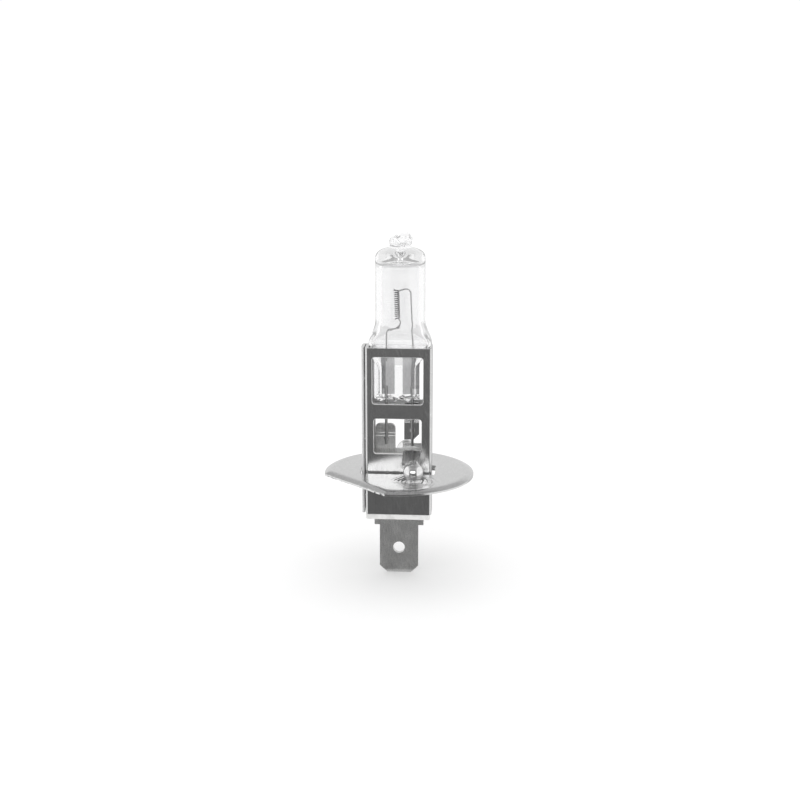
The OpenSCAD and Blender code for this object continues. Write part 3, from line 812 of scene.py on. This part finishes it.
finish_modifier(blade, "BOOLEAN", operation="DIFFERENCE", object=hole_punch, solver="EXACT")
bpy.data.objects.remove(hole_punch)
finish_modifier(blade, "BEVEL", width=0.06 * mm, segments=2, limit_method="ANGLE",
                angle_limit=math.radians(40), use_clamp_overlap=True)

# The stem: its left and right edge, its rounded top corners, and its creases as (height, front face)
stem_left, stem_right = -3.85 * mm, -0.6 * mm
stem_t = 0.4 * mm
stem_corner_r = 0.8 * mm
stem_creases = [(5.65, 0.11), (6.0, 0.41), (6.8, 0.41), (7.55, 0.21)]
deselect()
bpy.ops.mesh.primitive_plane_add(
    size=1, location=((stem_left + stem_right) / 2, stem_creases[0][1] * mm, (blade_high.z + blade_top) / 2),
    rotation=(math.radians(90), 0, 0))
stem = bpy.context.object
stem.scale = (stem_right - stem_left, blade_high.z - blade_top, 1)
fix_place(stem)
bpy.ops.object.mode_set(mode="EDIT")
pick(stem, lambda p: p.z > blade_high.z - 0.01 * mm, "verts")
bpy.ops.mesh.bevel(offset=stem_corner_r, segments=8, affect="VERTICES")
for z in (5.65, 6.0, 6.4, 6.8, 7.2):
    # Rows of points for the creases to bend along
    bpy.ops.mesh.select_all(action="SELECT")
    bpy.ops.mesh.bisect(plane_co=(0, 0, z * mm), plane_no=(0, 0, 1))
bpy.ops.object.mode_set(mode="OBJECT")
for vert in stem.data.vertices:
    for (z0, y0), (z1, y1) in zip(stem_creases, stem_creases[1:]):
        share = (vert.co.z / mm - z0) / (z1 - z0)
        if 0 < share < 1.01:
            vert.co.y = (y0 + (y1 - y0) * share) * mm
finish_modifier(stem, "SOLIDIFY", thickness=stem_t, offset=-1)
finish_modifier(stem, "BEVEL", width=0.07 * mm, segments=3, limit_method="ANGLE",
                angle_limit=math.radians(12), use_clamp_overlap=True)
activate(blade)
stem.select_set(True)
bpy.ops.object.join()
blade.data.materials.append(blade_metal)
settle(blade, "contact_blade", stands_for=["blade_terminal"])


# ---- Insulator ----
# A pressed ceramic plug with a thin lip under the sleeve. It is white and matt, with a few grey rub
# marks from the metal round it, and its edges are slightly rounded by tumbling.

insulator = worked("ceramic_insulator", 0.09 * mm, 3)
steatite = bpy.data.materials.new("fired_steatite")
tree, shader, add = nodes_of(steatite)
link = tree.links.new
body_place = add("ShaderNodeTexCoord")
pores = add("ShaderNodeTexVoronoi")
pores.inputs["Scale"].default_value = 5200
mottle = add("ShaderNodeTexNoise")
mottle.inputs["Scale"].default_value = 600
mottle.inputs["Detail"].default_value = 6
tone = add("ShaderNodeValToRGB")
tone.color_ramp.elements[0].position = 0.3
tone.color_ramp.elements[0].color = (0.7, 0.7, 0.69, 1)
tone.color_ramp.elements[1].position = 0.55
tone.color_ramp.elements[1].color = (0.88, 0.88, 0.87, 1)
body_bump = add("ShaderNodeBump")
body_bump.inputs["Strength"].default_value = 1
body_bump.inputs["Distance"].default_value = 0.000006
body_rough = add("ShaderNodeMapRange")
body_rough.inputs["To Min"].default_value = 0.45
body_rough.inputs["To Max"].default_value = 0.7
for texture in (pores, mottle):
    link(body_place.outputs["Object"], texture.inputs["Vector"])
link(mottle.outputs["Fac"], tone.inputs[0])
link(tone.outputs[0], shader.inputs["Base Color"])
link(mottle.outputs["Fac"], body_rough.inputs["Value"])
link(body_rough.outputs[0], shader.inputs["Roughness"])
link(pores.outputs["Distance"], body_bump.inputs["Height"])
link(body_bump.outputs[0], shader.inputs["Normal"])
insulator.data.materials.append(steatite)
settle(insulator, "steatite_insulator", stands_for=["ceramic_insulator"])


# ---- Sleeve ----
# Folded from one strip of stainless sheet, lapped and spot-welded on the left. The windows are
# punched, with a fine burr on their edges, and two tongues are lanced out and bent over the flange.

sleeve_steel = metal("bright_rolled_steel", (0.44, 0.44, 0.44), (0.62, 0.62, 0.62), 0.17, 0.05,
                     8000, 2e-6, (1, 1, 0.06), edge=1.2, scratch=0.3)
# The sheared edge steel is matt and light: partly the real sheared edge, partly a painted highlight that
# stands in for the glint along the punched edges
sheared_and_highlit_steel = metal("sheared_steel_edge_highlight", (0.5, 0.5, 0.5), (0.85, 0.85, 0.85), 0.45, 0.1,
                      9000, 5e-6, (1, 1, 0.04), edge=1.0, scratch=0.0)
tree, shader, add = nodes_of(sheared_and_highlit_steel)
tree.links.remove(shader.inputs["Metallic"].links[0])
shader.inputs["Metallic"].default_value = 0.45
end_margin = 0.5 * mm
window_reach = Vector((4.6, 2.2)) * mm
seam_x = -5.3 * mm
wall_y = 0.5 * mm
facing_front = -0.6
dull = 1

sleeve = worked("base_sleeve")
sleeve.data.materials.append(sleeve_steel)
sleeve.data.materials.append(sheared_and_highlit_steel)
activate(sleeve)
bpy.ops.object.mode_set(mode="EDIT")
bpy.ops.mesh.select_mode(type="EDGE")
bpy.ops.mesh.select_all(action="DESELECT")
sheet = bmesh.from_edit_mesh(sleeve.data)
sleeve_low, sleeve_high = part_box("base_sleeve")
for rim in sheet.edges:
    middle = (rim.verts[0].co + rim.verts[1].co) / 2
    clear_of_ends = sleeve_low.z + end_margin < middle.z < sleeve_high.z - end_margin
    at_window = abs(middle.x) < window_reach.x and abs(middle.y) < window_reach.y
    if clear_of_ends and at_window and rim.calc_face_angle(0) > math.radians(40):
        rim.select_set(True)
bmesh.update_edit_mesh(sleeve.data)
# The window edges are broken and take the sheared edge steel, whose light tone is partly a painted highlight
# along the burr
bpy.ops.mesh.bevel(offset=0.08 * mm, segments=3, clamp_overlap=False, material=dull)
bpy.ops.object.mode_set(mode="OBJECT")
# The lapped seam's sheared edge and the inside of the back wall, where it faces the front, also take the
# lighter, matt sheared edge steel
for face in sleeve.data.polygons:
    to_front = face.normal.y < facing_front
    seam = face.center.x < seam_x and (face.center.y < -wall_y or to_front)
    if seam or (face.center.y > wall_y and to_front):
        face.material_index = dull
settle(sleeve, "folded_sleeve", stands_for=["base_sleeve"])

earth = worked("earth_tab", 0.04 * mm)
earth.data.materials.append(sleeve_steel)
settle(earth, "earth_tab_strip", stands_for=["earth_tab"])


# ---- Weld metal ----
# Spot welds in the lapped seam, and the nuggets that hold the leads on their tabs: melted and
# frozen steel, bright, with a pebbled skin.

weld_metal = metal("frozen_weld_metal", (0.42, 0.41, 0.4), (0.66, 0.66, 0.66), 0.22, 0.08,
                   4200, 8e-6, (1, 1, 1), edge=0.3, scratch=0.0)
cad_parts["seam_welds"].data.materials.clear()
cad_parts["seam_welds"].data.materials.append(weld_metal)
for side in ("left", "right"):
    node = "lead_weld_" + side
    low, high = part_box(node)
    middle = (low + high) / 2
    deselect()
    bpy.ops.mesh.primitive_uv_sphere_add(segments=32, ring_count=20, radius=(high.x - low.x) / 2,
                                         location=(middle.x, high.y, middle.z))
    nugget = bpy.context.object
    for vert in nugget.data.vertices:
        vert.co *= 1 + 0.3 * noise.noise(vert.co / mm * 3 + Vector((middle.x * 900, 0, 2)))
        vert.co.y *= 0.85
    fix_place(nugget)
    bpy.ops.object.mode_set(mode="EDIT")
    bpy.ops.mesh.select_all(action="SELECT")
    bpy.ops.mesh.bisect(plane_co=(0, high.y, 0), plane_no=(0, 1, 0), clear_outer=True, use_fill=True)
    bpy.ops.object.mode_set(mode="OBJECT")
    nugget.data.materials.append(weld_metal)
    settle(nugget, node + "_nugget", stands_for=[node], smooth=60)


# ---- Flange ----
# A punched steel disc with one straight keying edge and a slot with chamfered lips for the sleeve. The
# punch rolled its rim down, and the heat of the tack welds left shallow ripples round the beads.

flange_low, flange_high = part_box("flange_ring")
flange_r = flange_high.x
flange_t = -flange_low.z
chord_far = 9.6 * mm
chord_turn = math.radians(226)
chord_way = Vector((math.cos(chord_turn), math.sin(chord_turn), 0))
rim_w = 1.3 * mm
rim_drop = 0.42 * mm
roll_r = (rim_w ** 2 + rim_drop ** 2) / (2 * rim_drop)
rim_steps = 8
ring_gap = 0.55 * mm
ring_steps = 16
slot_low = Vector((-6.17, -2.06, 0)) * mm
slot_high = Vector((5.85, 2.06, 0)) * mm
beads = [Vector((2.65, -6.35, 0)) * mm, Vector((0.75, 6.75, 0)) * mm]
lip_r = 0.5 * mm
ripple_gap = 0.62 * mm
ripple_h = 0.1 * mm
ripple_start = 1.3 * mm
ripple_end = 4.3 * mm
ripple_fade = 2.4 * mm
ripple_wander = 0.35 * mm
surface = -0.01 * mm

deselect()
bpy.ops.mesh.primitive_circle_add(vertices=192, radius=flange_r, fill_type="NGON")
flange = bpy.context.object
bpy.ops.object.mode_set(mode="EDIT")
bpy.ops.mesh.select_mode(type="FACE")
bpy.ops.mesh.select_all(action="SELECT")
for step in range(rim_steps):
    bpy.ops.mesh.inset(thickness=rim_w / rim_steps)
for step in range(ring_steps):
    bpy.ops.mesh.inset(thickness=ring_gap)
bpy.ops.mesh.select_all(action="SELECT")
bpy.ops.mesh.extrude_region_move(TRANSFORM_OT_translate={"value": (0, 0, -flange_t)})
bpy.ops.mesh.select_all(action="SELECT")
bpy.ops.mesh.normals_make_consistent(inside=False)
bpy.ops.mesh.bisect(plane_co=chord_way * chord_far, plane_no=chord_way, clear_outer=True, use_fill=True)
for step in range(1, rim_steps + 1):
    bpy.ops.mesh.select_all(action="SELECT")
    bpy.ops.mesh.bisect(plane_co=chord_way * (chord_far - rim_w * step / rim_steps), plane_no=chord_way)
pick(flange, lambda p: p.z > surface and min((p - b).length for b in beads) < ripple_end + near
     and p.length < flange_r - rim_w)
bpy.ops.mesh.subdivide(number_cuts=4)
bpy.ops.object.mode_set(mode="OBJECT")


def roll(over):
    """How far the rim has dropped where it lies this far outside the flat."""
    over = max(0.0, over)
    return math.sqrt(max(0.0, roll_r ** 2 - over ** 2)) - roll_r


def ripple(spot):
    """Height of the frozen ripples: rings round each bead that fade outwards."""
    height = 0
    for bead_at, gain in zip(beads, (1.0, 0.7)):
        away = spot - bead_at
        far = away.length + ripple_wander * noise.noise(spot / mm * 0.6)
        if ripple_start < far < ripple_end:
            fade = ease((ripple_end - far) / ripple_fade) * (1.0 if away.x < 0 else 0.55)
            height -= gain * fade * ripple_h * (0.5 - 0.5 * math.cos(2 * math.pi * far / ripple_gap))
    return height


for vert in flange.data.vertices:
    if vert.co.z > surface:
        flat = Vector((vert.co.x, vert.co.y, 0))
        inner_r = flange_r - rim_w
        vert.co.z = min(roll(flat.length - inner_r), roll(flat.dot(chord_way) - (chord_far - rim_w)))
        vert.co.z += ripple(flat) if flat.length < inner_r else 0

slot_w, slot_d = slot_high.x - slot_low.x, slot_high.y - slot_low.y
slot_x = (slot_low.x + slot_high.x) / 2
deselect()
bpy.ops.mesh.primitive_cube_add(size=1, location=(slot_x, 0, -flange_t),
                                scale=(slot_w, slot_d, 2 * (flange_t - lip_r)))
slot_punch = bpy.context.object
fix_place(slot_punch)
bpy.ops.object.mode_set(mode="EDIT")
pick(slot_punch, lambda p: abs(p.z + flange_t) < near and abs(p.y) > 2 * mm
     and min(abs(p.x - slot_low.x), abs(p.x - slot_high.x)) < near, "edges")
bpy.ops.mesh.bevel(offset=0.4 * mm, segments=4)
pick(slot_punch, lambda p: p.z > surface - lip_r)
for rise, grow in ((lip_r * 0.85, lip_r * 0.8), (lip_r * 0.15, lip_r * 0.3), (0.5 * mm, lip_r * 0.3)):
    bpy.ops.mesh.extrude_region_move(TRANSFORM_OT_translate={"value": (0, 0, rise)})
    bpy.ops.transform.resize(value=(1, 1 + 2 * grow / slot_d, 1), center_override=(slot_x, 0, 0))
bpy.ops.object.mode_set(mode="OBJECT")
finish_modifier(flange, "BOOLEAN", operation="DIFFERENCE", object=slot_punch, solver="EXACT")
bpy.data.objects.remove(slot_punch)
finish_modifier(flange, "BEVEL", width=0.05 * mm, segments=2, limit_method="ANGLE",
                angle_limit=math.radians(45), use_clamp_overlap=True)
flange.data.materials.append(metal("pressed_flange_steel", (0.5, 0.5, 0.5), (0.66, 0.66, 0.66), 0.19, 0.05,
                                   6500, 3e-6, (1, 0.12, 1), edge=1.0, scratch=0.25))
settle(flange, "locating_flange", stands_for=["flange_ring"], smooth=40)


# ---- Weld beads ----
# The ends of the sleeve's tongues, melted into bright round beads that are fused to the flange by a
# thin skirt of weld metal.

bead_r = 1.58 * mm
bead_z = 1.5 * mm
neck_r = 0.98 * mm
skirt_w = 0.24 * mm
skirt_h = 0.2 * mm
collar_h = 0.28 * mm
wrinkle_h = 0.05 * mm
bead_metal = metal("bright_bead", (0.6, 0.6, 0.6), (0.74, 0.74, 0.74), 0.1, 0.04,
                   3000, 2e-6, (1, 1, 1), edge=0.0, scratch=0.0)
for node, at in zip(("weld_bead_front", "weld_bead_rear"), beads):
    deselect()
    bpy.ops.mesh.primitive_uv_sphere_add(segments=72, ring_count=48, radius=bead_r,
                                         location=(at.x, at.y, bead_z))
    bead = bpy.context.object
    fix_place(bead)
    inward = -1 if at.y > 0 else 1
    for vert in bead.data.vertices:
        off = vert.co - Vector((at.x, at.y, 0))
        flat = Vector((off.x, off.y, 0))
        if off.z < 0.5 * mm and flat.length > 0:
            skirt = ease(1 - off.z / skirt_h)
            flat = flat.normalized() * max(flat.length, neck_r + skirt * skirt_w)
        # A collar of wrinkled metal climbs the tongue on the sleeve's side
        toward = Vector((0, inward * 0.62, 0.78))
        climb = ease((off - Vector((0, 0, bead_z))).normalized().dot(toward) * 3.2 - 2.1)
        off = Vector((flat.x, flat.y, off.z))
        wave = 0.5 + 0.5 * math.cos(climb * 9)
        off += toward * climb * (collar_h + wrinkle_h * wave)
        vert.co = Vector((at.x, at.y, 0)) + off
    bpy.ops.object.mode_set(mode="EDIT")
    bpy.ops.mesh.select_all(action="SELECT")
    bpy.ops.mesh.bisect(plane_co=(0, 0, -0.03 * mm), plane_no=(0, 0, -1), clear_outer=True, use_fill=True)
    bpy.ops.object.mode_set(mode="OBJECT")
    bead.data.materials.append(bead_metal)
    settle(bead, node + "_ball", stands_for=[node], smooth=60)
